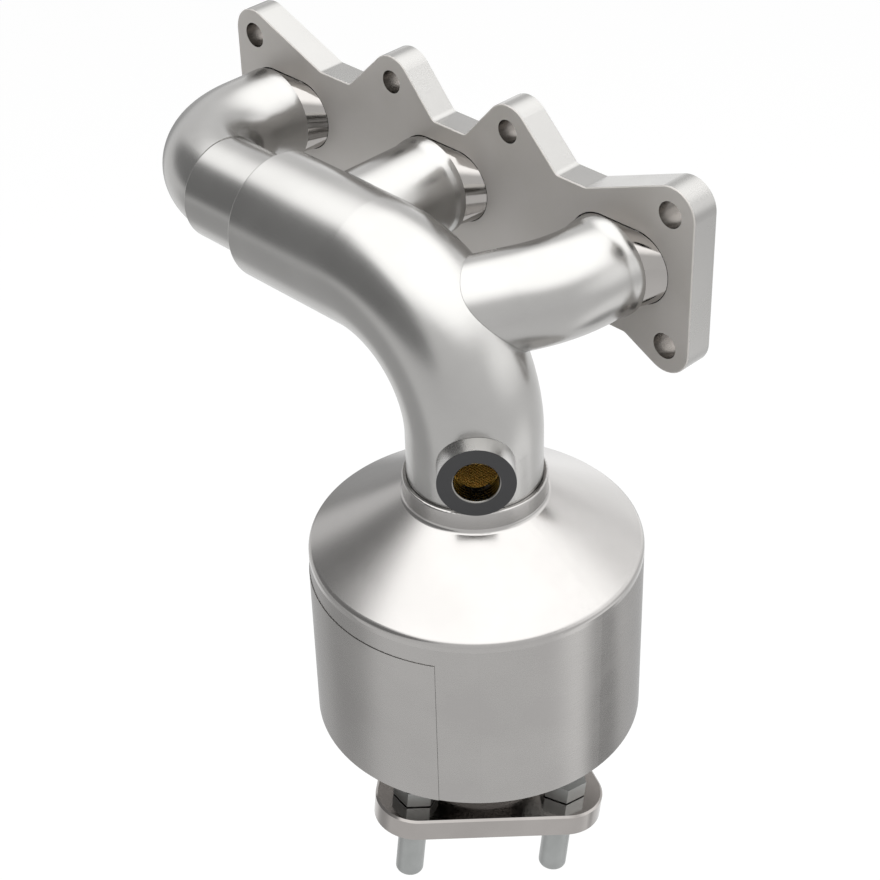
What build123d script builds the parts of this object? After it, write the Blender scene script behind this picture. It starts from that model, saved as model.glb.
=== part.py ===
from build123d import *
from math import cos, radians, sin, tan
import os

# Manifold catalytic converter: three runners off one head flange join a collector pipe that drops
# into a short round converter with a leaning three-bolt outlet flange.
# Origin: the centre of the four outer stud holes, on the head flange's mating face. +X runs along
# the flange, +Y points out of that face towards the engine, +Z is up, along the converter's axis.

# Where the main parts lie
port_pitch = 89.4
port_shift = -2.0
port_rise = 0.55
run_y = -73.3
run_drop = 1.0
canister_x = 73.2
rim_z = -177.05

# Head flange
flange_t = 12.0
core_top = 23.35
core_bottom = -29.65
end_hole_beside = 21.1
end_hole_z = 27.15
end_ear_r = 11.0
end_hole_d = 10.4
end_slope_top = 39.5
end_slope_bottom = 19.4
inner_hole_beside = 13.8
inner_hole_shift = 1.4
inner_hole_z = 32.45
inner_ear_r = 10.7
inner_hole_d = 9.4
inner_slope_out = 24.5
inner_slope_in = 22.4
ear_foot_r = 3.0
flange_edge = 0.4

# Port sleeves: nearly oval at the flange, round inside the runner
sleeve_w = 46.4
sleeve_h = 29.2
sleeve_wall = 1.6
sleeve_recess = 2.0
sleeve_inside = 1.8
spigot_flat = 0.6
port_gap = 0.3
spigot_fit = 0.15
tube_gap = 7.8

# Runners
runner_wall = 1.6
runner_od = 38.1
elbow_od = 39.4
mouth_od = 39.6
mouth_flat = 0.4
mouth_len = 6.6
elbow_r = 37.3
elbow_spare = 0.5
front_straight = 14.6
front_bend = 45.0
front_bend_r = 35.0
front_dip = 17.0
saddle_gap = 0.1

# Link pipe and collector
link_od = 40.8
link_start = -60.5
link_lead = 0.4
link_inside = 2.0
collector_od = 50.8
collector_wall = 1.8
collector_start = -29.2
collector_edge = 0.8
collector_bend_r = 50.3
collector_end = 93.5

# Oxygen sensor bung, on the drop of the collector
bung_turn = 45.7
bung_clear = 3.35
bung_od = 28.5
bung_reach = 32.3
bung_bore = 16.4
bung_chamfer = 0.6

# Converter: heights are above its bottom rim
shell_r = 63.4
shell_wall = 1.5
shell_top = 74.0
cone_corner = 77.3
corner_r = 3.0
cone_foot = 100.0
neck_foot_r = 2.2
neck_top = 108.2
neck_lip = 0.7
cone_wall = 1.5
wrap_t = 0.2
wrap_gap = 0.1
wrap_top = 66.5
wrap_seam = 30.5
wrap_span = 236.0
liner_wall = 1.2
liner_gap = 4.0
liner_overlap = 3.5
liner_inset = 1.4
pipe_fit = 0.2
mat_t = 4.7
brick_bottom = 8.0
brick_top = 70.0
seal_t = 3.6
seal_lip = 2.4
seal_cover = 1.5
stack_fit = 0.1

# Outlet, measured from the rim along its own leaning axis
outlet_lean = 5.7
outlet_turn = 52.0
outlet_od = 50.8
outlet_wall = 1.6
outlet_cone_len = 17.0
outlet_collar = 4.0
outlet_liner_skirt = 3.0
outlet_liner_tip = 3.0
outlet_liner_stop = 2.0
outlet_face = 28.5
outlet_plate_t = 10.4
outlet_recess = 2.0
front_bolt_x = 29.3
front_bolt_y = 28.5
back_bolt_y = 41.3
plate_corner_r = 16.0
plate_back_r = 32.0
plate_edge = 0.8
bolt_d = 11.1
bolt_shank_d = 12.2
bolt_shank_spare = 1.0
bolt_hole_d = 12.6
bolt_len = 41.0
bolt_flats = 15.9
bolt_head = 7.3
bolt_seat_d = 14.6
bolt_seat_t = 0.5
bolt_end = 1.6

os.makedirs("parts", exist_ok=True)

ports = {"rear": port_shift - port_pitch, "middle": port_shift, "front": port_shift + port_pitch}
run_z = port_rise - run_drop
rim_centre = Vector(canister_x, run_y, rim_z)
converter_axis = Axis(rim_centre, (0, 0, 1))


# Head flange: one thick plate, with an ear round every stud hole
end_hole_x = port_pitch + end_hole_beside
inner_hole_x = port_pitch / 2 - inner_hole_beside
inner_holes = [(inner_hole_shift + side * inner_hole_x, inner_hole_z) for side in (-1, 1)]

with BuildPart() as head_flange:
    with BuildSketch(Plane.XZ) as plate:
        with Locations((0, (core_top + core_bottom) / 2)):
            Rectangle(2 * end_hole_x, core_top - core_bottom)
        for side in (-1, 1):
            hole_x = side * end_hole_x
            with BuildLine() as end_ears:
                CenterArc((hole_x, end_hole_z), end_ear_r, 0, 360)
                CenterArc((hole_x, -end_hole_z), end_ear_r, 0, 360)
                top_foot = (hole_x - side * end_slope_top, core_top)
                Line(top_foot, (hole_x - side * end_slope_bottom, core_bottom))
            make_hull(end_ears.edges())
            hole_x = inner_hole_shift + side * inner_hole_x
            with BuildLine() as inner_ear:
                CenterArc((hole_x, inner_hole_z), inner_ear_r, 0, 360)
                outer_foot = (hole_x + side * inner_slope_out, core_top)
                Line(outer_foot, (hole_x - side * inner_slope_in, core_top))
            make_hull(inner_ear.edges())
        corners = plate.vertices()
        feet = [v for v in corners if min(abs(v.Y - core_top), abs(v.Y - core_bottom)) < 0.01]
        fillet(feet, ear_foot_r)
    extrude(amount=flange_t)
    with BuildSketch(Plane.XZ):
        with Locations(*[(x, port_rise) for x in ports.values()]):
            SlotOverall(sleeve_w + 2 * port_gap, sleeve_h + 2 * port_gap)
        with GridLocations(2 * end_hole_x, 2 * end_hole_z, 2, 2):
            Circle(end_hole_d / 2)
        with Locations(*inner_holes):
            Circle(inner_hole_d / 2)
    extrude(amount=flange_t, mode=Mode.SUBTRACT)
    chamfer(head_flange.faces().sort_by(Axis.Y)[0].outer_wire().edges(), flange_edge)
head_flange.part.label = "head_flange"
export_step(head_flange.part, "parts/head_flange.step")


# Port sleeves: each runs from the flange's port to a round spigot inside its runner
mouth_r = mouth_od / 2
spigot_r = mouth_r - runner_wall - spigot_fit - spigot_flat / 2

for place, port_x in ports.items():
    port = Plane(origin=(port_x, 0, port_rise), x_dir=(1, 0, 0), z_dir=(0, -1, 0))
    with BuildPart() as port_sleeve:
        for shrink, mode in ((0, Mode.ADD), (sleeve_wall, Mode.SUBTRACT)):
            oval = (sleeve_w - 2 * shrink, sleeve_h - 2 * shrink)
            spigot = (2 * (spigot_r - shrink) + spigot_flat, 2 * (spigot_r - shrink))
            with BuildSketch(port.offset(sleeve_recess)):
                SlotOverall(*oval)
            extrude(amount=flange_t - sleeve_recess, mode=mode)
            with BuildSketch(port.offset(flange_t)):
                SlotOverall(*oval)
            with BuildSketch(port.offset(flange_t + tube_gap)):
                SlotOverall(*spigot)
            loft(mode=mode)
            with BuildSketch(port.offset(flange_t + tube_gap)):
                SlotOverall(*spigot)
            extrude(amount=sleeve_inside, mode=mode)
    port_sleeve.part.label = "port_sleeve_" + place
    export_step(port_sleeve.part, "parts/port_sleeve_" + place + ".step")


# Centre lines of the collector and of the three runners
runner_start = -flange_t - tube_gap
runner_body = runner_start - mouth_len
collector_r = collector_od / 2
link_end = collector_start + collector_wall + link_inside
run_plane = Plane(origin=(0, run_y, run_z), x_dir=(1, 0, 0), z_dir=(0, -1, 0))

with BuildLine(run_plane) as collector_path:
    drop_end = rim_z + collector_end - run_z
    run_start = (collector_start, 0)
    FilletPolyline(run_start, (canister_x, 0), (canister_x, drop_end), radius=collector_bend_r)

port_level = Plane.XY.offset(port_rise)
with BuildLine(port_level) as elbow_path:
    port_x = ports["rear"]
    elbow_finish = port_x + elbow_r + elbow_spare
    FilletPolyline((port_x, runner_body), (port_x, run_y), (elbow_finish, run_y), radius=elbow_r)

with BuildLine(port_level) as middle_path:
    Line((ports["middle"], runner_body), (ports["middle"], run_y))

dip = radians(front_dip)
front_port = Vector(ports["front"], 0, port_rise)
front_plane = Plane(origin=front_port, x_dir=(0, -1, 0), z_dir=(sin(dip), 0, -cos(dip)))
with BuildLine(front_plane) as front_path:
    turn = radians(front_bend)
    bend_start = flange_t + front_straight
    corner = bend_start + front_bend_r * tan(turn / 2)
    aside = (-run_y - corner) * tan(turn)
    FilletPolyline((-runner_body, 0), (corner, 0), (-run_y, aside), radius=front_bend_r)


def swept(path, outer_r, bore_r=0):
    """A round bar or tube along a centre line, made in the part block that calls it."""
    with BuildSketch(Plane(origin=path.wire() @ 0, x_dir=(0, 0, -1), z_dir=path.wire() % 0)) as section:
        Circle(outer_r)
        if bore_r:
            Circle(bore_r, mode=Mode.SUBTRACT)
    sweep(section.sketch, path=path.wire())


with BuildPart() as collector_envelope:
    swept(collector_path, collector_r + saddle_gap)


def runner_mouth(port_x, tube_r):
    """The slightly wider end of a runner, which slips over its port sleeve."""
    bell_y = runner_start - mouth_flat
    half_y = (bell_y + runner_body) / 2
    with BuildSketch(port_level) as section:
        with BuildLine():
            outer = [(mouth_r, bell_y), (mouth_r, half_y), (tube_r, half_y), (tube_r, runner_body)]
            outer = [(port_x + r, y) for r, y in outer]
            inner = [(x - runner_wall, y) for x, y in outer]
            Line((port_x + mouth_r, runner_start), outer[0])
            Bezier(*outer)
            Line(outer[-1], inner[-1])
            Bezier(*inner)
            Line(inner[0], (port_x + mouth_r - runner_wall, runner_start))
            Line((port_x + mouth_r - runner_wall, runner_start), (port_x + mouth_r, runner_start))
        make_face()
    revolve(section.sketch, axis=Axis((port_x, 0, port_rise), (0, 1, 0)))


# Rear runner: leaves its port and turns a right angle to meet the link pipe
with BuildPart() as runner_rear:
    swept(elbow_path, elbow_od / 2, elbow_od / 2 - runner_wall)
    runner_mouth(ports["rear"], elbow_od / 2)
    split(bisect_by=Plane.YZ.offset(link_start), keep=Keep.BOTTOM)
runner_rear.part.label = "runner_rear"
export_step(runner_rear.part, "parts/runner_rear.step")

# Middle runner: straight, saddled onto the collector's side
runner_r = runner_od / 2
with BuildPart() as runner_middle:
    swept(middle_path, runner_r, runner_r - runner_wall)
    runner_mouth(ports["middle"], runner_r)
    add(collector_envelope.part, mode=Mode.SUBTRACT)
runner_middle.part.label = "runner_middle"
export_step(runner_middle.part, "parts/runner_middle.step")

# Front runner: bends down and aside, saddled onto the outside of the collector's bend
with BuildPart() as runner_front:
    swept(front_path, runner_r, runner_r - runner_wall)
    runner_mouth(ports["front"], runner_r)
    add(collector_envelope.part, mode=Mode.SUBTRACT)
runner_front.part.label = "runner_front"
export_step(runner_front.part, "parts/runner_front.step")

# Link pipe: a short pipe between the rear runner and the collector, whose end wall it passes through
link_r = link_od / 2
with BuildPart() as link_pipe:
    with BuildSketch(Plane(origin=(link_start, run_y, run_z), z_dir=(1, 0, 0))):
        Circle(link_r)
        Circle(link_r - runner_wall, mode=Mode.SUBTRACT)
    extrude(amount=link_end - link_start)
    start_rims = link_pipe.edges().filter_by(GeomType.CIRCLE).group_by(Axis.X)[0]
    fillet(start_rims.sort_by(SortBy.RADIUS)[-1], link_lead)
link_pipe.part.label = "link_pipe"
export_step(link_pipe.part, "parts/link_pipe.step")

# Collector: closed round the link pipe at its start, runs along X, then bends down to the converter
bung_line = Vector(sin(radians(bung_turn)), -cos(radians(bung_turn)), 0)
bung_height = neck_top + bung_clear + bung_od / 2
bung_root = rim_centre + Vector(0, 0, bung_height)
with BuildPart() as middle_bore:
    swept(middle_path, runner_r - runner_wall)
with BuildPart() as front_bore:
    swept(front_path, runner_r - runner_wall)

with BuildPart() as collector_pipe:
    swept(collector_path, collector_r, collector_r - collector_wall)
    with BuildSketch(Plane(origin=(collector_start, run_y, run_z), z_dir=(1, 0, 0))):
        Circle(collector_r)
        Circle(link_r + pipe_fit, mode=Mode.SUBTRACT)
    extrude(amount=collector_wall)
    start_rims = collector_pipe.edges().filter_by(GeomType.CIRCLE).group_by(Axis.X)[0]
    fillet(start_rims.sort_by(SortBy.RADIUS)[-1], collector_edge)
    add(middle_bore.part, mode=Mode.SUBTRACT)
    add(front_bore.part, mode=Mode.SUBTRACT)
    with BuildSketch(Plane(origin=bung_root, z_dir=bung_line)):
        Circle(bung_bore / 2)
    extrude(amount=collector_r + collector_wall, mode=Mode.SUBTRACT)
collector_pipe.part.label = "collector_pipe"
export_step(collector_pipe.part, "parts/collector_pipe.step")

# Oxygen sensor bung: a thick threaded ring saddled onto the collector's drop
with BuildPart() as oxygen_sensor_bung:
    bung_face = Plane(origin=bung_root + bung_line * bung_reach, z_dir=bung_line)
    with BuildSketch(bung_face):
        Circle(bung_od / 2)
    extrude(amount=-bung_reach / 2)
    add(collector_envelope.part, mode=Mode.SUBTRACT)
    with BuildSketch(bung_face):
        Circle(bung_bore / 2)
    extrude(amount=-bung_reach, mode=Mode.SUBTRACT)
    face_rims = oxygen_sensor_bung.faces().sort_by(Axis(bung_root, bung_line))[-1].edges()
    chamfer(face_rims.sort_by(SortBy.RADIUS)[0], bung_chamfer)
oxygen_sensor_bung.part.label = "oxygen_sensor_bung"
export_step(oxygen_sensor_bung.part, "parts/oxygen_sensor_bung.step")


def inner_line(outer, wall):
    """An open line moved towards the axis by a sheet's thickness."""
    moved = []
    for i, point in enumerate(outer):
        before = outer[max(i - 1, 0)]
        after = outer[min(i + 1, len(outer) - 1)]
        ends = [(a, b) for a, b in ((before, point), (point, after)) if a != b]
        normals = [(Vector(*b) - Vector(*a)).normalized().rotate(Axis.Z, 90) for a, b in ends]
        total = normals[0] + normals[-1]
        shift = total * (wall / total.dot(normals[0]))
        moved.append((point[0] + shift.X, point[1] + shift.Y))
    return moved


def turned_sheet(outer, wall, bends=()):
    """A sheet spun round the converter's axis. A bend is a point's place, outer and inner radius."""
    inner = inner_line(outer, wall)
    with BuildSketch(Plane(origin=rim_centre, x_dir=(1, 0, 0), z_dir=(0, -1, 0))) as section:
        with BuildLine():
            Polyline(*outer, *reversed(inner), close=True)
        make_face()
        for place, outer_bend, inner_bend in bends:
            for corner, bend_r in ((outer[place], outer_bend), (inner[place], inner_bend)):
                fillet(section.vertices().sort_by_distance((*corner, 0))[0], bend_r)
    revolve(section.sketch, axis=converter_axis)


# Converter shell and its outer wrap
shell_bore = shell_r - shell_wall
rim_plane = Plane(origin=rim_centre, x_dir=(1, 0, 0), z_dir=(0, 0, 1))

with BuildPart() as converter_shell:
    with BuildSketch(rim_plane):
        Circle(shell_r)
        Circle(shell_bore, mode=Mode.SUBTRACT)
    extrude(amount=shell_top)
converter_shell.part.label = "converter_shell"
export_step(converter_shell.part, "parts/converter_shell.step")

with BuildPart() as shell_wrap:
    seam = radians(wrap_seam)
    outward = Vector(sin(seam), -cos(seam), 0)
    with BuildSketch(Plane(origin=rim_centre, x_dir=outward, z_dir=outward.cross(Vector(0, 0, 1)))):
        with Locations((shell_r + wrap_gap + wrap_t / 2, wrap_top / 2)):
            Rectangle(wrap_t, wrap_top)
    revolve(axis=converter_axis, revolution_arc=-wrap_span)
shell_wrap.part.label = "shell_wrap"
export_step(shell_wrap.part, "parts/shell_wrap.step")

# Inlet cone: skirt, cone and a neck that stands round the collector's end
neck_r = collector_r + pipe_fit + cone_wall
cone_outline = [(shell_r, shell_top), (shell_r, cone_corner), (neck_r, cone_foot), (neck_r, neck_top)]
with BuildPart() as inlet_cone:
    cone_bends = [(1, corner_r, corner_r - cone_wall), (2, neck_foot_r, neck_foot_r + cone_wall)]
    turned_sheet(cone_outline, cone_wall, cone_bends)
    lip = inlet_cone.edges().filter_by(GeomType.CIRCLE).group_by(Axis.Z)[-1].sort_by(SortBy.RADIUS)[-1]
    fillet(lip, neck_lip)
inlet_cone.part.label = "inlet_cone"
export_step(inlet_cone.part, "parts/inlet_cone.step")

# Inlet liner: a thin inner cone between the collector's end and the honeycomb
cone_slope = (cone_foot - cone_corner) / (shell_r - neck_r)
slant = (1 + cone_slope**2) ** 0.5
liner_line = cone_corner - (cone_wall + liner_gap) * slant
liner_r = shell_bore - liner_inset
liner_neck_r = collector_r + pipe_fit + liner_wall
liner_knee = (liner_r, liner_line + cone_slope * (shell_r - liner_r))
liner_low = (liner_neck_r, liner_line + cone_slope * (shell_r - liner_neck_r))
liner_rim = (liner_r, brick_top + seal_cover + stack_fit)
liner_high = (liner_neck_r, liner_low[1] + liner_overlap)
with BuildPart() as inlet_liner:
    turned_sheet([liner_rim, liner_knee, liner_low, liner_high], liner_wall)
inlet_liner.part.label = "inlet_liner"
export_step(inlet_liner.part, "parts/inlet_liner.step")

# Honeycomb brick, its mat and the seal ring at each end
brick_r = shell_bore - mat_t
with BuildPart() as honeycomb_brick:
    with BuildSketch(rim_plane.offset(brick_bottom)):
        Circle(brick_r)
    extrude(amount=brick_top - brick_bottom)
honeycomb_brick.part.label = "honeycomb_brick"
export_step(honeycomb_brick.part, "parts/honeycomb_brick.step")

with BuildPart() as support_mat:
    with BuildSketch(rim_plane.offset(brick_bottom + seal_t)):
        Circle(shell_bore)
        Circle(brick_r, mode=Mode.SUBTRACT)
    extrude(amount=brick_top - brick_bottom - 2 * seal_t)
support_mat.part.label = "support_mat"
export_step(support_mat.part, "parts/support_mat.step")

for place, end_height, outward in (("upper", brick_top, 1), ("lower", brick_bottom, -1)):
    with BuildPart() as seal_ring:
        with BuildSketch(rim_plane.offset(end_height)):
            Circle(shell_bore)
            Circle(brick_r, mode=Mode.SUBTRACT)
        extrude(amount=-outward * seal_t)
        with BuildSketch(rim_plane.offset(end_height)):
            Circle(shell_bore)
            Circle(brick_r - seal_lip, mode=Mode.SUBTRACT)
        extrude(amount=outward * seal_cover)
    seal_ring.part.label = "seal_ring_" + place
    export_step(seal_ring.part, "parts/seal_ring_" + place + ".step")


# Outlet: cone, liner, pipe and flange, on an axis that leans away from the converter's own
lean = radians(outlet_lean)
aim = radians(outlet_turn)
outlet_up = Vector(sin(lean) * cos(aim), sin(lean) * sin(aim), cos(lean))
outlet_across = Vector(cos(lean) * cos(aim), cos(lean) * sin(aim), -sin(lean))


def below_rim(distance):
    """The plane across the outlet's axis, which meets the converter's at the outlet flange's face."""
    face_centre = rim_centre - Vector(0, 0, outlet_face)
    origin = face_centre + outlet_up * (outlet_face - distance)
    return Plane(origin=origin, x_dir=outlet_across, z_dir=outlet_up)


def outlet_funnel(skirt, neck, wall):
    """A skirt, a cone that leans over to the outlet's axis, and a neck along it.

    The skirt is its radius, top and foot; the neck is its radius, start and end below the rim.
    """
    skirt_r, skirt_top, skirt_foot = skirt
    tip_r, neck_start, neck_end = neck
    for shrink, mode in ((0, Mode.ADD), (wall, Mode.SUBTRACT)):
        with BuildSketch(rim_plane.offset(skirt_foot)) as skirt_round:
            Circle(skirt_r - shrink)
        extrude(skirt_round.sketch, amount=skirt_top - skirt_foot, mode=mode)
        with BuildSketch(below_rim(neck_start)) as neck_round:
            Circle(tip_r - shrink)
        loft([skirt_round.sketch, neck_round.sketch], mode=mode)
        extrude(neck_round.sketch, amount=neck_start - neck_end, mode=mode)


outlet_r = outlet_od / 2
outlet_bore = outlet_r - outlet_wall
seal_foot = brick_bottom - seal_cover - stack_fit
with BuildPart() as outlet_cone:
    outlet_neck_r = outlet_r + pipe_fit + cone_wall
    collar_end = outlet_cone_len + outlet_collar
    outlet_funnel((shell_bore, seal_foot, 0), (outlet_neck_r, outlet_cone_len, collar_end), cone_wall)
outlet_cone.part.label = "outlet_cone"
export_step(outlet_cone.part, "parts/outlet_cone.step")

with BuildPart() as outlet_liner:
    liner_top_r = shell_bore - cone_wall - pipe_fit
    liner_tip_r = outlet_r + pipe_fit + liner_wall
    liner_end = outlet_cone_len - outlet_liner_stop
    skirt = (liner_top_r, seal_foot, outlet_liner_skirt)
    outlet_funnel(skirt, (liner_tip_r, liner_end - outlet_liner_tip, liner_end), liner_wall)
outlet_liner.part.label = "outlet_liner"
export_step(outlet_liner.part, "parts/outlet_liner.step")

with BuildPart() as outlet_pipe:
    with BuildSketch(below_rim(outlet_cone_len)):
        Circle(outlet_r)
        Circle(outlet_bore, mode=Mode.SUBTRACT)
    extrude(amount=outlet_cone_len - outlet_face - outlet_plate_t + outlet_recess)
outlet_pipe.part.label = "outlet_pipe"
export_step(outlet_pipe.part, "parts/outlet_pipe.step")

outlet_bolts = {
    "left": ((-front_bolt_x, -front_bolt_y), 0),
    "right": ((front_bolt_x, -front_bolt_y), 30),
    "back": ((0, back_bolt_y), 0),
}
bolt_spots = [spot for spot, turned in outlet_bolts.values()]
with BuildPart() as outlet_flange:
    with BuildSketch(below_rim(outlet_face)):
        with BuildLine():
            for spot in bolt_spots[:2]:
                CenterArc(spot, plate_corner_r, 0, 360)
            CenterArc((0, back_bolt_y + plate_corner_r - plate_back_r), plate_back_r, 0, 360)
        make_hull()
        Circle(outlet_r + pipe_fit, mode=Mode.SUBTRACT)
        with Locations(*bolt_spots):
            Circle(bolt_hole_d / 2, mode=Mode.SUBTRACT)
    extrude(amount=-outlet_plate_t)
    plate_faces = outlet_flange.faces().sort_by(Axis(rim_centre, outlet_up))
    chamfer(plate_faces[0].outer_wire().edges() + plate_faces[-1].outer_wire().edges(), plate_edge)
outlet_flange.part.label = "outlet_flange"
export_step(outlet_flange.part, "parts/outlet_flange.step")

for place, (spot, turned) in outlet_bolts.items():
    with BuildPart() as outlet_bolt:
        for thickness, length in ((bolt_d, bolt_len), (bolt_shank_d, outlet_plate_t + bolt_shank_spare)):
            with BuildSketch(below_rim(outlet_face)):
                with Locations(spot):
                    Circle(thickness / 2)
            extrude(amount=-length)
        rims = outlet_bolt.edges().filter_by(GeomType.CIRCLE).sort_by(Axis(rim_centre, outlet_up))
        fillet(rims[0], bolt_end)
        with BuildSketch(below_rim(outlet_face)):
            with Locations(spot):
                Circle(bolt_seat_d / 2)
        extrude(amount=bolt_seat_t)
        with BuildSketch(below_rim(outlet_face - bolt_seat_t)):
            with Locations(spot):
                RegularPolygon(bolt_flats / 2, 6, major_radius=False, rotation=turned)
        extrude(amount=bolt_head - bolt_seat_t)
    outlet_bolt.part.label = "outlet_bolt_" + place
    export_step(outlet_bolt.part, "parts/outlet_bolt_" + place + ".step")
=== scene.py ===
from math import cos, pi, radians, sin

import bpy
from mathutils import Matrix, Vector


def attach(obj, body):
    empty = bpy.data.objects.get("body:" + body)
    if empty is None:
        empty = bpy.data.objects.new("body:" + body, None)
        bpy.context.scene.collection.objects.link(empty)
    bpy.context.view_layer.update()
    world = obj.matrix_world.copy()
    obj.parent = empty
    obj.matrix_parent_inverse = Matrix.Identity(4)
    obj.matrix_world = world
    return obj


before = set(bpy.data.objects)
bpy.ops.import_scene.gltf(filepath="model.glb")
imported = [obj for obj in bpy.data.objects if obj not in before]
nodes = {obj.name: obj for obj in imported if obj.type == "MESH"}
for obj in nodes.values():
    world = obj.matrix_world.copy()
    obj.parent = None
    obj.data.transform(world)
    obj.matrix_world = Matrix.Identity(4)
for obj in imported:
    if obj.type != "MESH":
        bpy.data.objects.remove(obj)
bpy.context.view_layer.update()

# A manifold catalytic converter in satin stainless steel, hung by its head flange over a pale floor.
scene = bpy.context.scene
scene.view_settings.view_transform = "Standard"

# Places and sizes that the finishes and the added pieces need, in metres. Heights are above the converter's
# bottom rim, where converter_axis has its foot.
converter_axis = Vector((0.0732, -0.0733, -0.17705))
shell_r = 0.0632
end_studs = [(x, z) for x in (-0.1105, 0.1105) for z in (-0.02715, 0.02715)]
stud_holes = end_studs + [(-0.0295, 0.03245), (0.0323, 0.03245)]
stud_hole_reach = 0.0056

# The collector's drop, inside: a little past its wall, and up to the bung's height
drop_bore_reach = 0.0238
drop_film_top = 0.1262

# The bung: its axis, and how far its bore, chamfer and thread reach from that axis
bung_line = Vector((sin(radians(45.7)), -cos(radians(45.7)), 0))
bung_root = converter_axis + Vector((0, 0, 0.1258))
bung_reach = 0.0323
bung_face_depth = 0.0003
bung_bore_reach = 0.0083
bung_chamfer_reach = 0.0087
bung_thread_reach = 0.0088

# The honeycomb: 400 cells to the square inch is a pitch of 1.27 mm
brick_bottom = 0.008
brick_top = 0.070
brick_open_r = 0.0545
cell_pitch = 0.00127
cell_wall = 0.00017
cell_depth = 0.0008

# The surfaces' patterns, in millimetres. The thread is the real one's. The others are too fine to show in
# the render, so each is drawn coarser than the real one.
thread_pitch = 1.5
turned_rings = 0.6      # the lathe's feed leaves rings about 0.15 mm apart
steel_grain = 0.8       # blasted, rolled, pressed and plated steel has a grain of about 0.1 mm
knitted_wire = 0.8      # the seal rings' wire is 0.25 mm thick
handling_grain = 0.5    # a polishing wheel's marks are about 0.05 mm wide
ground_grain = 0.4      # a fine grinding belt's marks are about 0.05 mm wide
rolled_line = 0.5       # the rolling mill leaves lines about 0.05 mm apart
laser_line = 0.7        # the laser leaves lines about 0.2 mm apart along a cut edge
ceramic_speckle = 0.6   # fired cordierite's grains are about 0.05 mm
fibre_tangle = 1.2      # the mat's fibres are under 0.01 mm thick and lie in tufts of about 0.5 mm


# Camera at the photograph's angle
def place_camera():
    camera = bpy.data.objects.new("camera", bpy.data.cameras.new("camera"))
    camera.data.sensor_width = 36
    camera.data.lens = 86.75
    camera.data.clip_start = 0.01
    right = Vector((0.70664, 0.70715, -0.02438))
    up = Vector((-0.39618, 0.42398, 0.81442))
    back = Vector((0.58626, -0.56584, 0.57976))
    turn = Matrix((right, up, back)).transposed().to_4x4()
    camera.matrix_world = Matrix.Translation((0.51840, -0.52045, 0.39398)) @ turn
    scene.collection.objects.link(camera)
    scene.camera = camera


# Colours and nodes
def linear(hex_colour):
    """An sRGB hex colour as linear red, green, blue and alpha."""
    parts = [int(hex_colour[i:i + 2], 16) / 255 for i in (1, 3, 5)]
    return (*[c / 12.92 if c <= 0.04045 else ((c + 0.055) / 1.055) ** 2.4 for c in parts], 1)


def grey(value):
    return (value, value, value, 1)


def per_metre(size_mm):
    """How many of a pattern's lumps lie in a metre, from the size of one in millimetres."""
    return 1000 / size_mm


def node(tree, kind, inputs=(), take=0, **settings):
    """Adds one node and gives one of its outputs, by name or number.

    Its inputs are values, or outputs to link from: in order, or by name or number.
    """
    made = tree.nodes.new(kind)
    for name, value in settings.items():
        setattr(made, name, value)
    for place, value in inputs.items() if isinstance(inputs, dict) else enumerate(inputs):
        if isinstance(value, bpy.types.NodeSocket):
            tree.links.new(value, made.inputs[place])
        else:
            made.inputs[place].default_value = value
    return made.outputs[take] if len(made.outputs) else None


def new_material(name):
    material = bpy.data.materials.new(name)
    material.use_nodes = True
    material.node_tree.nodes.clear()
    return material, material.node_tree


def object_place(tree, centre=(0, 0, 0), stretch=(1, 1, 1)):
    """Object coordinates in metres, measured from a centre and then scaled."""
    coords = node(tree, "ShaderNodeTexCoord", take="Object")
    shift = tuple(-c * s for c, s in zip(centre, stretch))
    return node(tree, "ShaderNodeMapping", {"Vector": coords, "Location": shift, "Scale": stretch})


def surface_facing(tree):
    """The surface's own direction, as its x, y and z."""
    direction = node(tree, "ShaderNodeTexCoord", take="Normal")
    return node(tree, "ShaderNodeSeparateXYZ", (direction,)).node.outputs


def waves(tree, distance, pitch_mm):
    """Even waves along a distance in metres, pitch_mm apart."""
    turns = node(tree, "ShaderNodeMath", (distance, 2 * pi * per_metre(pitch_mm)), operation="MULTIPLY")
    return node(tree, "ShaderNodeMath", (turns,), operation="SINE")


def steel(name, colours, roughness, grain_mm, bump_mm, patch_mm=25.0, edge=1.0, extra=None):
    """Bare steel: a base colour that wanders between two, patchy roughness and a fine surface grain.

    The patches are as wide as a wiping or rolling mark. Edge is how much of the grazing shine is left, and
    extra gives the shader's inputs that one piece has otherwise.
    """
    material, tree = new_material(name)
    place = object_place(tree)
    patchy = {"Vector": place, "Scale": per_metre(patch_mm), "Detail": 3.0}
    patches = node(tree, "ShaderNodeTexNoise", patchy, "Fac")
    grainy = {"Vector": place, "Scale": per_metre(grain_mm), "Detail": 3.0, "Roughness": 0.6}
    grain = node(tree, "ShaderNodeTexNoise", grainy, "Fac")
    mottled = node(tree, "ShaderNodeMapRange", (patches, 0.3, 0.7, *roughness))
    fine = node(tree, "ShaderNodeMapRange", (grain, 0.25, 0.75, -0.015, 0.015))
    rough = node(tree, "ShaderNodeMath", (mottled, fine), operation="ADD")
    wander = node(tree, "ShaderNodeMapRange", (patches, 0.35, 0.65, 0.0, 1.0))
    shades = {0: wander, 6: linear(colours[0]), 7: linear(colours[1])}
    colour = node(tree, "ShaderNodeMix", shades, 2, data_type="RGBA")
    relief = {"Strength": 0.5, "Distance": bump_mm / 1000, "Height": grain}
    normal = node(tree, "ShaderNodeBump", relief, "Normal")
    inputs = {"Base Color": colour, "Metallic": 1.0, "Roughness": rough, "Normal": normal}
    inputs["Specular Tint"] = grey(edge)
    if extra:
        inputs.update(extra(tree, colour, rough, normal))
    shader = node(tree, "ShaderNodeBsdfPrincipled", inputs)
    node(tree, "ShaderNodeOutputMaterial", {"Surface": shader})
    return material


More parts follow.
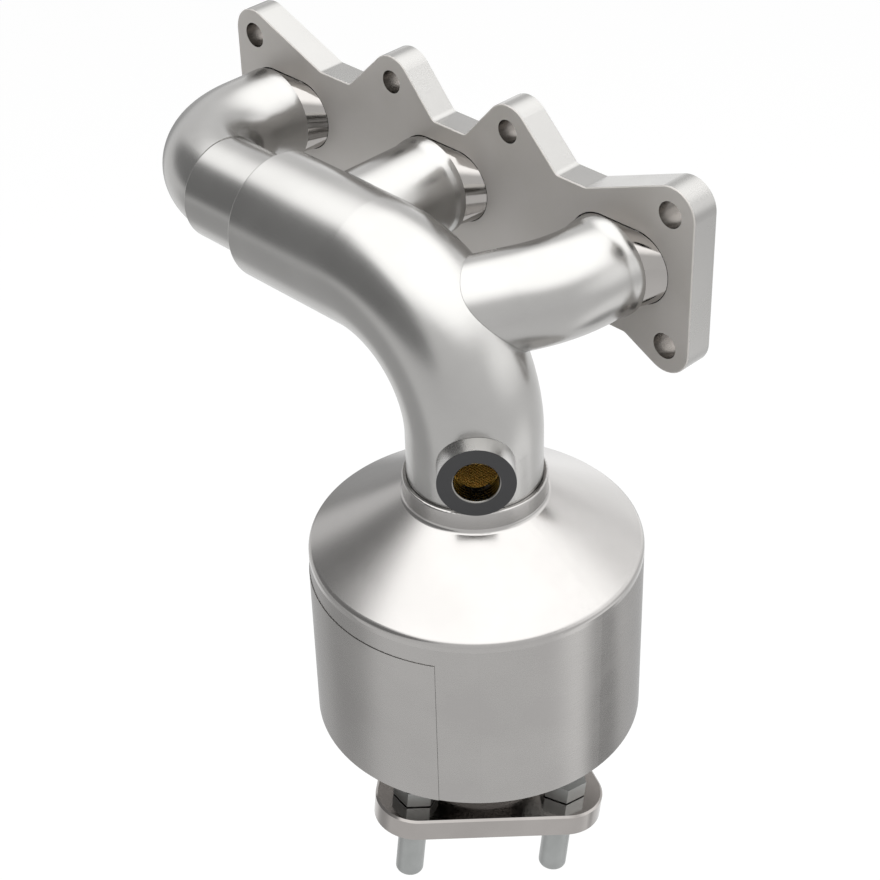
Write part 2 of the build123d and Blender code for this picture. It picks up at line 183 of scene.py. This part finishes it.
def rolled_lines(tree, colour, rough, normal):
    """Rolled sheet: the mill's fine lines run round the wall, and shift its sheen a little."""
    x, y, up = node(tree, "ShaderNodeSeparateXYZ", (object_place(tree, converter_axis),)).node.outputs
    angle = node(tree, "ShaderNodeMath", (y, x), operation="ARCTAN2")
    around = node(tree, "ShaderNodeMath", (angle, shell_r), operation="MULTIPLY")
    drawn_out = node(tree, "ShaderNodeMath", (around, 0.02), operation="MULTIPLY")
    along_wall = node(tree, "ShaderNodeCombineXYZ", (drawn_out, up))
    streaky = {"Vector": along_wall, "Scale": per_metre(rolled_line), "Detail": 2.0, "Roughness": 0.7}
    lines = node(tree, "ShaderNodeTexNoise", streaky, "Fac")
    sheen = node(tree, "ShaderNodeMapRange", (lines, 0.2, 0.8, -0.025, 0.025))
    rough = node(tree, "ShaderNodeMath", (rough, sheen), operation="ADD")
    relief = {"Strength": 0.2, "Distance": 0.00001, "Height": lines, "Normal": normal}
    normal = node(tree, "ShaderNodeBump", relief, "Normal")
    return {"Roughness": rough, "Normal": normal}


def nearest_hole(tree, holes):
    """How far a point of the head flange lies from the nearest stud hole's axis, in metres."""
    nearest = None
    for x, z in holes:
        place = object_place(tree, (x, 0, z), (1, 0, 1))
        away = node(tree, "ShaderNodeVectorMath", (place,), "Value", operation="LENGTH")
        nearest = node(tree, "ShaderNodeMath", (nearest, away), operation="MINIMUM") if nearest else away
    return nearest


def cut_edges(tree, colour, rough, normal):
    """Laser-cut edges with fine lines across them, smoother than the flat face; the holes' walls painted
    darker as painted shade inside them.
    """
    tilt = node(tree, "ShaderNodeMath", (surface_facing(tree)[1],), operation="ABSOLUTE")
    edge = node(tree, "ShaderNodeMath", (tilt, 0.6), operation="LESS_THAN")
    away = nearest_hole(tree, stud_holes)
    in_hole = node(tree, "ShaderNodeMath", (away, stud_hole_reach), operation="LESS_THAN")
    painted_hole_shade = node(tree, "ShaderNodeMath", (edge, in_hole), operation="MULTIPLY")
    colour = node(tree, "ShaderNodeMix", {0: edge, 6: colour, 7: linear("#a3a2a0")}, 2, data_type="RGBA")
    # Painted shade: the walls of the stud holes are darkened to stand for the shade inside them
    colour = node(tree, "ShaderNodeMix", {0: painted_hole_shade, 6: colour, 7: linear("#77736f")}, 2, data_type="RGBA")
    through_plate = object_place(tree, stretch=(1, 0.03, 1))
    streaky = {"Vector": through_plate, "Scale": per_metre(laser_line), "Detail": 2.0, "Roughness": 0.6}
    lines = node(tree, "ShaderNodeTexNoise", streaky, "Fac")
    height = node(tree, "ShaderNodeMath", (lines, edge), operation="MULTIPLY")
    relief = {"Strength": 0.15, "Distance": 0.00003, "Height": height, "Normal": normal}
    smoother = node(tree, "ShaderNodeMath", (edge, 0.37), operation="MULTIPLY")
    rough = node(tree, "ShaderNodeMath", (rough, smoother), operation="SUBTRACT")
    normal = node(tree, "ShaderNodeBump", relief, "Normal")
    return {"Base Color": colour, "Roughness": rough, "Normal": normal}


def bung_axial_radial(tree):
    """How far along the bung's axis a point lies, and how far from that axis, in metres."""
    place = object_place(tree, bung_root)
    line = tuple(bung_line)
    along = node(tree, "ShaderNodeVectorMath", (place, line), "Value", operation="DOT_PRODUCT")
    on_axis = node(tree, "ShaderNodeVectorMath", {0: line, "Scale": along}, operation="SCALE")
    across = node(tree, "ShaderNodeVectorMath", (place, on_axis), operation="SUBTRACT")
    return along, node(tree, "ShaderNodeVectorMath", (across,), "Value", operation="LENGTH")


def turned_bung(tree, colour, rough, normal):
    """Dark turned face, a bright chamfer, and a metric thread in a bore painted dark as painted shade inside
    the hole.
    """
    along, radial = bung_axial_radial(tree)
    front = node(tree, "ShaderNodeMath", (along, bung_reach - bung_face_depth), operation="GREATER_THAN")
    outside = node(tree, "ShaderNodeMath", (radial, bung_chamfer_reach), operation="GREATER_THAN")
    face = node(tree, "ShaderNodeMath", (front, outside), operation="MULTIPLY")
    chamfer = node(tree, "ShaderNodeMath", (radial, bung_chamfer_reach), operation="LESS_THAN")
    bore = node(tree, "ShaderNodeMath", (radial, bung_bore_reach), operation="LESS_THAN")
    # The face's dark colour is the steel's own; the bore's dark colour is painted shade for the inside of the
    # hole
    for part, shade in ((face, "#4a4a4b"), (chamfer, "#8d8b88"), (bore, "#37352f")):
        colour = node(tree, "ShaderNodeMix", {0: part, 6: colour, 7: linear(shade)}, 2, data_type="RGBA")
    on_face = node(tree, "ShaderNodeMath", (waves(tree, radial, turned_rings), face), operation="MULTIPLY")
    rings = node(tree, "ShaderNodeMath", (on_face, 0.05), operation="MULTIPLY")
    threaded = node(tree, "ShaderNodeMath", (radial, bung_thread_reach), operation="LESS_THAN")
    thread = node(tree, "ShaderNodeMath", (waves(tree, along, thread_pitch), threaded), operation="MULTIPLY")
    height = node(tree, "ShaderNodeMath", (rings, thread), operation="ADD")
    relief = {"Strength": 0.9, "Distance": 0.00012, "Height": height, "Normal": normal}
    duller = node(tree, "ShaderNodeMath", (face, 0.12), operation="MULTIPLY")
    rough = node(tree, "ShaderNodeMath", (rough, duller), operation="ADD")
    normal = node(tree, "ShaderNodeBump", relief, "Normal")
    return {"Base Color": colour, "Roughness": rough, "Normal": normal}


def brown_inside(tree, colour, rough, normal):
    """The drop's inner wall carries a matt brown film from the hot gas, which hides the bare metal."""
    x, y, up = node(tree, "ShaderNodeSeparateXYZ", (object_place(tree, converter_axis),)).node.outputs
    flat = node(tree, "ShaderNodeCombineXYZ", (x, y))
    radial = node(tree, "ShaderNodeVectorMath", (flat,), "Value", operation="LENGTH")
    inside = node(tree, "ShaderNodeMath", (radial, drop_bore_reach), operation="LESS_THAN")
    low = node(tree, "ShaderNodeMath", (up, drop_film_top), operation="LESS_THAN")
    film = node(tree, "ShaderNodeMath", (inside, low), operation="MULTIPLY")
    browned = node(tree, "ShaderNodeMix", {0: film, 6: colour, 7: linear("#8a7030")}, 2, data_type="RGBA")
    bare = node(tree, "ShaderNodeMath", (1.0, film), operation="SUBTRACT")
    duller = node(tree, "ShaderNodeMath", (film, 0.45), operation="MULTIPLY")
    rough = node(tree, "ShaderNodeMath", (rough, duller), operation="ADD")
    return {"Base Color": browned, "Metallic": bare, "Roughness": rough}


def heat_film(tree, colour, rough, normal):
    """Scale that hides the bare metal altogether."""
    return {"Metallic": 0.0}


def cordierite(name, painted_channel_shade):
    """Extruded and fired cordierite ceramic: a matt, slightly uneven tan. If asked, its end faces are painted
    darker, as painted shade down the deep cells.
    """
    material, tree = new_material(name)
    grainy = {"Vector": object_place(tree), "Scale": per_metre(ceramic_speckle), "Detail": 4.0}
    speckle = node(tree, "ShaderNodeTexNoise", grainy, "Fac")
    paler = node(tree, "ShaderNodeMapRange", (speckle, 0.3, 0.7, 0.0, 1.0))
    shades = {0: paler, 6: linear("#9c7c3c"), 7: linear("#a98a4a")}
    colour = node(tree, "ShaderNodeMix", shades, 2, data_type="RGBA")
    # Painted shade: the brick's end faces are darkened to stand for the shade down its open cells
    if painted_channel_shade:
        upright = node(tree, "ShaderNodeMath", (surface_facing(tree)[2],), operation="ABSOLUTE")
        ends = node(tree, "ShaderNodeMath", (upright, 0.9), operation="GREATER_THAN")
        colour = node(tree, "ShaderNodeMix", {0: ends, 6: colour, 7: linear("#7a6230")}, 2, data_type="RGBA")
    normal = node(tree, "ShaderNodeBump", {"Strength": 0.5, "Distance": 0.00004, "Height": speckle}, "Normal")
    inputs = {"Base Color": colour, "Roughness": 0.85, "Normal": normal}
    node(tree, "ShaderNodeOutputMaterial", {"Surface": node(tree, "ShaderNodeBsdfPrincipled", inputs)})
    return material


def fibre_mat():
    """Ceramic fibre mat, laid and pressed: matt off-white tufts of tangled fibres."""
    material, tree = new_material("pressed_ceramic_fibre")
    tangled = {"Vector": object_place(tree), "Scale": per_metre(fibre_tangle), "Detail": 6.0}
    tangled["Roughness"] = 0.75
    fibres = node(tree, "ShaderNodeTexNoise", tangled, "Fac")
    paler = node(tree, "ShaderNodeMapRange", (fibres, 0.3, 0.7, 0.0, 1.0))
    shades = {0: paler, 6: linear("#b7ab94"), 7: linear("#e3dccb")}
    colour = node(tree, "ShaderNodeMix", shades, 2, data_type="RGBA")
    normal = node(tree, "ShaderNodeBump", {"Strength": 0.8, "Distance": 0.0003, "Height": fibres}, "Normal")
    inputs = {"Base Color": colour, "Roughness": 0.95, "Normal": normal}
    node(tree, "ShaderNodeOutputMaterial", {"Surface": node(tree, "ShaderNodeBsdfPrincipled", inputs)})
    return material


def paint(material, *names):
    for name in names:
        nodes[name].data.materials.clear()
        nodes[name].data.materials.append(material)


def finish_nodes():
    # Drawn stainless tube, bent, then finely blasted: a soft grey sheen whose reflections have no hard rim
    tube_colours, tube_rough = ("#aaa9a7", "#afaeac"), (0.21, 0.26)
    tube = steel("drawn_stainless_tube", tube_colours, tube_rough, steel_grain, 0.0006)
    paint(tube, "runner_rear", "runner_middle", "runner_front", "link_pipe", "outlet_pipe")

    # The same tube for the collector, browned inside by hot gas
    collector = steel("drawn_stainless_collector", tube_colours, tube_rough, steel_grain, 0.0006,
                      extra=brown_inside)
    paint(collector, "collector_pipe")

    # Stainless stubs, pressed and wheel-polished: clear reflections with faint handling marks
    sleeve = steel("polished_stainless_sleeve", ("#a09d9a", "#a6a3a0"), (0.09, 0.12), handling_grain, 0.001)
    paint(sleeve, "port_sleeve_rear", "port_sleeve_middle", "port_sleeve_front")

    # Stainless plate, laser-cut and tumbled: its face is matt and pale, and its cut edges shine more
    plate = steel("tumbled_stainless_plate", ("#cbc8c4", "#d0cdca"), (0.60, 0.66), steel_grain, 0.001,
                  extra=cut_edges)
    paint(plate, "head_flange")

    # Stainless sheet, cold-rolled and rolled up into a shell: a satin grey, smooth round the wall
    shell = steel("rolled_stainless_sheet", ("#a5a3a1", "#aaa8a6"), (0.25, 0.29), steel_grain, 0.0004,
                  edge=0.65, extra=rolled_lines)
    paint(shell, "converter_shell", "shell_wrap")

    # Stainless sheet, pressed over a former: stretched smoother than the shell, so it shines brighter
    cone = steel("pressed_stainless_cone", ("#a8a6a4", "#adaba9"), (0.18, 0.22), steel_grain, 0.0006)
    paint(cone, "inlet_cone", "outlet_cone")

    # Carbon steel bung, turned and threaded: bright round its side and dark on its face
    bung = steel("turned_steel_bung", ("#b8b7b6", "#bebdbb"), (0.26, 0.30), steel_grain, 0.0004,
                 extra=turned_bung)
    paint(bung, "oxygen_sensor_bung")

    # Carbon steel plate, ground and polished: it mirrors the bolt heads, a little warm and dim
    outlet = steel("ground_steel_outlet_plate", ("#9c9895", "#a5a19e"), (0.09, 0.14), ground_grain, 0.003)
    paint(outlet, "outlet_flange")

    # Zinc-plated steel bolts, forged and rolled: a bluish grey, clouded in patches by the plating
    zinc = steel("zinc_plated_bolt", ("#999b9a", "#a3a5a4"), (0.32, 0.40), steel_grain, 0.003, patch_mm=8.0)
    paint(zinc, "outlet_bolt_left", "outlet_bolt_right", "outlet_bolt_back")

    # Stainless inner cones, pressed, under a matt brown film from heat that hides the metal
    liner = steel("heat_browned_liner", ("#8a7030", "#93783a"), (0.65, 0.75), steel_grain, 0.004,
                  extra=heat_film)
    paint(liner, "inlet_liner", "outlet_liner")

    # Stainless wire, knitted and pressed into a ring: a rough dark grey, its wires drawn coarser
    mesh = steel("knitted_wire_seal", ("#77726c", "#8b857e"), (0.45, 0.60), knitted_wire, 0.20, patch_mm=4.0)
    paint(mesh, "seal_ring_upper", "seal_ring_lower")

    paint(cordierite("fired_cordierite_block", True), "honeycomb_brick")
    paint(fibre_mat(), "support_mat")


# The honeycomb's open cells, which stand on both ends of the brick
def square_cell_tree(ceramic):
    """Geometry Nodes: two crossed sets of upright walls that fill a circle."""
    tree = bpy.data.node_groups.new("square_cells", "GeometryNodeTree")
    tree.interface.new_socket("Geometry", in_out="OUTPUT", socket_type="NodeSocketGeometry")
    for name in ("Radius", "Pitch", "Wall", "Depth"):
        tree.interface.new_socket(name, in_out="INPUT", socket_type="NodeSocketFloat")
    tree.interface.new_socket("Centre", in_out="INPUT", socket_type="NodeSocketVector")
    sizes = node(tree, "NodeGroupInput").node.outputs

    # A row of points across the circle, one for each wall
    width = node(tree, "ShaderNodeMath", (sizes["Radius"], 2.0), operation="MULTIPLY")
    fit = node(tree, "ShaderNodeMath", (width, sizes["Pitch"]), operation="DIVIDE")
    rows = node(tree, "ShaderNodeMath", (fit,), operation="FLOOR")
    gaps = node(tree, "ShaderNodeMath", (rows, 1.0), operation="SUBTRACT")
    spread = node(tree, "ShaderNodeMath", (gaps, sizes["Pitch"]), operation="MULTIPLY")
    first = node(tree, "ShaderNodeMath", (spread, -0.5), operation="MULTIPLY")
    start = node(tree, "ShaderNodeCombineXYZ", (first,))
    step = node(tree, "ShaderNodeCombineXYZ", (sizes["Pitch"],))
    line = node(tree, "GeometryNodeMeshLine", {"Count": rows, "Start Location": start, "Offset": step})

    # Each wall is as long as the circle is wide there
    place = node(tree, "GeometryNodeInputPosition")
    across = node(tree, "ShaderNodeSeparateXYZ", (place,), "X")
    squares = [node(tree, "ShaderNodeMath", (s, s), operation="MULTIPLY") for s in (sizes["Radius"], across)]
    left = node(tree, "ShaderNodeMath", squares, operation="SUBTRACT")
    half_chord = node(tree, "ShaderNodeMath", (left,), operation="SQRT")
    chord = node(tree, "ShaderNodeMath", (half_chord, 2.0), operation="MULTIPLY")
    slab_size = node(tree, "ShaderNodeCombineXYZ", (sizes["Wall"], 1.0, sizes["Depth"]))
    slab = node(tree, "GeometryNodeMeshCube", {"Size": slab_size})
    stretch = node(tree, "ShaderNodeCombineXYZ", (1.0, chord, 1.0))
    slabs = {"Points": line, "Instance": slab, "Scale": stretch}
    one_way = node(tree, "GeometryNodeInstanceOnPoints", slabs)

    # The second set is the first, turned by a quarter
    turned = node(tree, "GeometryNodeTransform", {"Geometry": one_way, "Rotation": (0, 0, pi / 2)})
    both = node(tree, "GeometryNodeJoinGeometry", (one_way,))
    tree.links.new(turned, both.node.inputs[0])
    placed = node(tree, "GeometryNodeTransform", {"Geometry": both, "Translation": sizes["Centre"]})
    solid = node(tree, "GeometryNodeRealizeInstances", (placed,))
    coated = node(tree, "GeometryNodeSetMaterial", {"Geometry": solid, "Material": ceramic})
    node(tree, "NodeGroupOutput", (coated,))
    return tree


def honeycomb_cells():
    """The open cells on each end of the brick, inside its seal rings."""
    tree = square_cell_tree(cordierite("fired_cordierite_cells", False))
    heights = {"upper_cells": brick_top + cell_depth / 2, "lower_cells": brick_bottom - cell_depth / 2}
    for name, height in heights.items():
        cells = bpy.data.objects.new(name, bpy.data.meshes.new(name))
        scene.collection.objects.link(cells)
        maker = cells.modifiers.new("square_cells", "NODES")
        maker.node_group = tree
        sizes = {"Radius": brick_open_r, "Pitch": cell_pitch, "Wall": cell_wall, "Depth": cell_depth}
        sizes["Centre"] = converter_axis + Vector((0, 0, height))
        for item in tree.interface.items_tree:
            if item.name in sizes:
                maker[item.identifier] = sizes[item.name]
        done = cells.evaluated_get(bpy.context.evaluated_depsgraph_get())
        plain = bpy.data.meshes.new_from_object(done)
        cells.modifiers.clear()
        cells.data = plain
        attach(cells, "root")


# Studio: pale floor, white surround, soft lamps and cards
def light_seen(tree):
    """1 for what the camera sees directly, or in a glossy or clear surface."""
    path = node(tree, "ShaderNodeLightPath").node.outputs
    shown = (path["Is Camera Ray"], path["Is Glossy Ray"])
    seen = node(tree, "ShaderNodeMath", shown, operation="MAXIMUM")
    return node(tree, "ShaderNodeMath", (seen, path["Is Transmission Ray"]), operation="MAXIMUM")


def white_world():
    world = bpy.data.worlds.new("white_surround")
    world.use_nodes = True
    tree = world.node_tree
    tree.nodes.clear()
    soft = node(tree, "ShaderNodeBackground", {"Color": grey(0.8), "Strength": 0.3})
    white = node(tree, "ShaderNodeBackground", {"Color": grey(1.0), "Strength": 1.0})
    shader = node(tree, "ShaderNodeMixShader", (light_seen(tree), soft, white))
    node(tree, "ShaderNodeOutputWorld", {"Surface": shader})
    scene.world = world


def stage_panel(name, centre, facing, width, height, material):
    """A flat stage panel at a centre, turned to face a point."""
    mesh = bpy.data.meshes.new(name)
    half_w, half_h = width / 2, height / 2
    corners = [(-half_w, -half_h, 0), (half_w, -half_h, 0), (half_w, half_h, 0), (-half_w, half_h, 0)]
    mesh.from_pydata(corners, [], [(0, 1, 2, 3)])
    panel = bpy.data.objects.new(name, mesh)
    panel.rotation_euler = (Vector(facing) - Vector(centre)).to_track_quat("Z", "Y").to_euler()
    panel.location = centre
    mesh.materials.append(material)
    scene.collection.objects.link(panel)
    return panel


def pale_floor():
    """A white floor. Most of its white is its own glow, and the rest is lit, so it keeps a faint shadow."""
    material, tree = new_material("pale_floor")
    matt = node(tree, "ShaderNodeBsdfDiffuse", {"Color": linear("#ececec")})
    lit = node(tree, "ShaderNodeBsdfDiffuse", {"Color": grey(0.12)})
    own = node(tree, "ShaderNodeEmission", {"Color": grey(1.0), "Strength": 0.94})
    white = node(tree, "ShaderNodeAddShader", (own, lit))
    shader = node(tree, "ShaderNodeMixShader", (light_seen(tree), matt, white))
    node(tree, "ShaderNodeOutputMaterial", {"Surface": shader})
    stage_panel("floor", (0, 0, -1.1), (0, 0, 1), 60, 60, material)


# Where lamps and cards stand: round this point, by a turn about Z and a height, in degrees
studio_centre = Vector((0.04, -0.06, -0.06))


def studio_place(turn, height, distance):
    turn, height = radians(turn), radians(height)
    direction = Vector((cos(height) * cos(turn), cos(height) * sin(turn), sin(height)))
    return studio_centre + direction * distance


def studio_card(name, place, half_size, core, veil, glow):
    """A card round the object, as a studio sets for bright metal: only reflections show it.

    Its middle dims what lies behind it by veil and adds its own glow, and both fade out from the
    core to the rim.
    """
    material, tree = new_material(name)
    in_card = object_place(tree, stretch=(1 / half_size[0], 1 / half_size[1], 0))
    out = node(tree, "ShaderNodeVectorMath", (in_card,), "Value", operation="LENGTH")
    fade = (out, core, 1.0, 1.0, 0.0)
    middle = node(tree, "ShaderNodeMapRange", fade, interpolation_type="SMOOTHSTEP")
    dimmed = node(tree, "ShaderNodeMix", {0: middle, 6: grey(1.0), 7: grey(veil)}, 2, data_type="RGBA")
    clear = node(tree, "ShaderNodeBsdfTransparent", {"Color": dimmed})
    strength = node(tree, "ShaderNodeMath", (middle, glow), operation="MULTIPLY")
    added = node(tree, "ShaderNodeEmission", {"Strength": strength})
    node(tree, "ShaderNodeOutputMaterial", {"Surface": node(tree, "ShaderNodeAddShader", (clear, added))})
    panel = stage_panel(name, place, studio_centre, 2 * half_size[0], 2 * half_size[1], material)
    panel.visible_camera = False
    panel.visible_diffuse = False
    panel.visible_transmission = False
    panel.visible_shadow = False


def cards():
    """Each card's name, place, half width and height, core, veil and glow."""
    studio_card("ceiling_card", studio_centre + Vector((0.03, 0.06, 1.5)), (2.5, 2.5), 0.42, 1.0, 1.55)
    studio_card("right_card", studio_place(50, 20, 1.5), (2.2, 0.85), 0.2, 1.0, 0.7)
    studio_card("left_card", studio_place(-126, 22, 0.94), (1.52, 0.61), 0.6, 0.3, 0.0)
    studio_card("floor_card", (0.33, 0.18, -0.44), (0.13, 0.13), 0.5, 0.35, 0.0)
    studio_card("right_floor_card", (0.52, 0.24, -0.44), (0.32, 0.32), 0.4, 1.0, 0.45)
    studio_card("back_card", studio_place(120, -4, 1.2), (1.3, 0.5), 0.4, 1.0, 0.5)
    studio_card("left_floor_card", (-0.47, -0.47, -0.44), (0.42, 0.42), 0.5, 0.62, 0.0)
    studio_card("left_back_card", studio_place(153, -9, 1.0), (0.38, 0.42), 0.5, 0.4, 0.0)


def soft_lamp(name, place, size, glow):
    """A rectangular soft lamp that faces the object. Its glow is how bright its face is."""
    lamp = bpy.data.lights.new(name, "AREA")
    lamp.shape = "RECTANGLE"
    lamp.size, lamp.size_y = size
    lamp.energy = glow * pi * size[0] * size[1]
    made = bpy.data.objects.new(name, lamp)
    made.location = place
    made.rotation_euler = (studio_centre - Vector(place)).to_track_quat("-Z", "Y").to_euler()
    made.visible_glossy = False
    scene.collection.objects.link(made)


def inspection_lamp():
    """A small lamp inside the inlet cone, so that the honeycomb shows through the bung."""
    lamp = bpy.data.lights.new("inspection_lamp", "POINT")
    lamp.energy = 0.034
    lamp.shadow_soft_size = 0.006
    made = bpy.data.objects.new("inspection_lamp", lamp)
    made.location = converter_axis + Vector((0, 0, brick_top + 0.0178))
    made.visible_camera = False
    made.visible_glossy = False
    scene.collection.objects.link(made)


def lamps():
    """The cards give the shine, so the lamps light only what is matt."""
    soft_lamp("top_lamp", studio_centre + Vector((0.12, 0.12, 1.5)), (2.4, 2.4), 2.3)
    soft_lamp("right_lamp", studio_place(48, 28, 1.5), (2.4, 0.75), 1.7)
    inspection_lamp()


place_camera()
finish_nodes()
honeycomb_cells()
white_world()
pale_floor()
cards()
lamps()
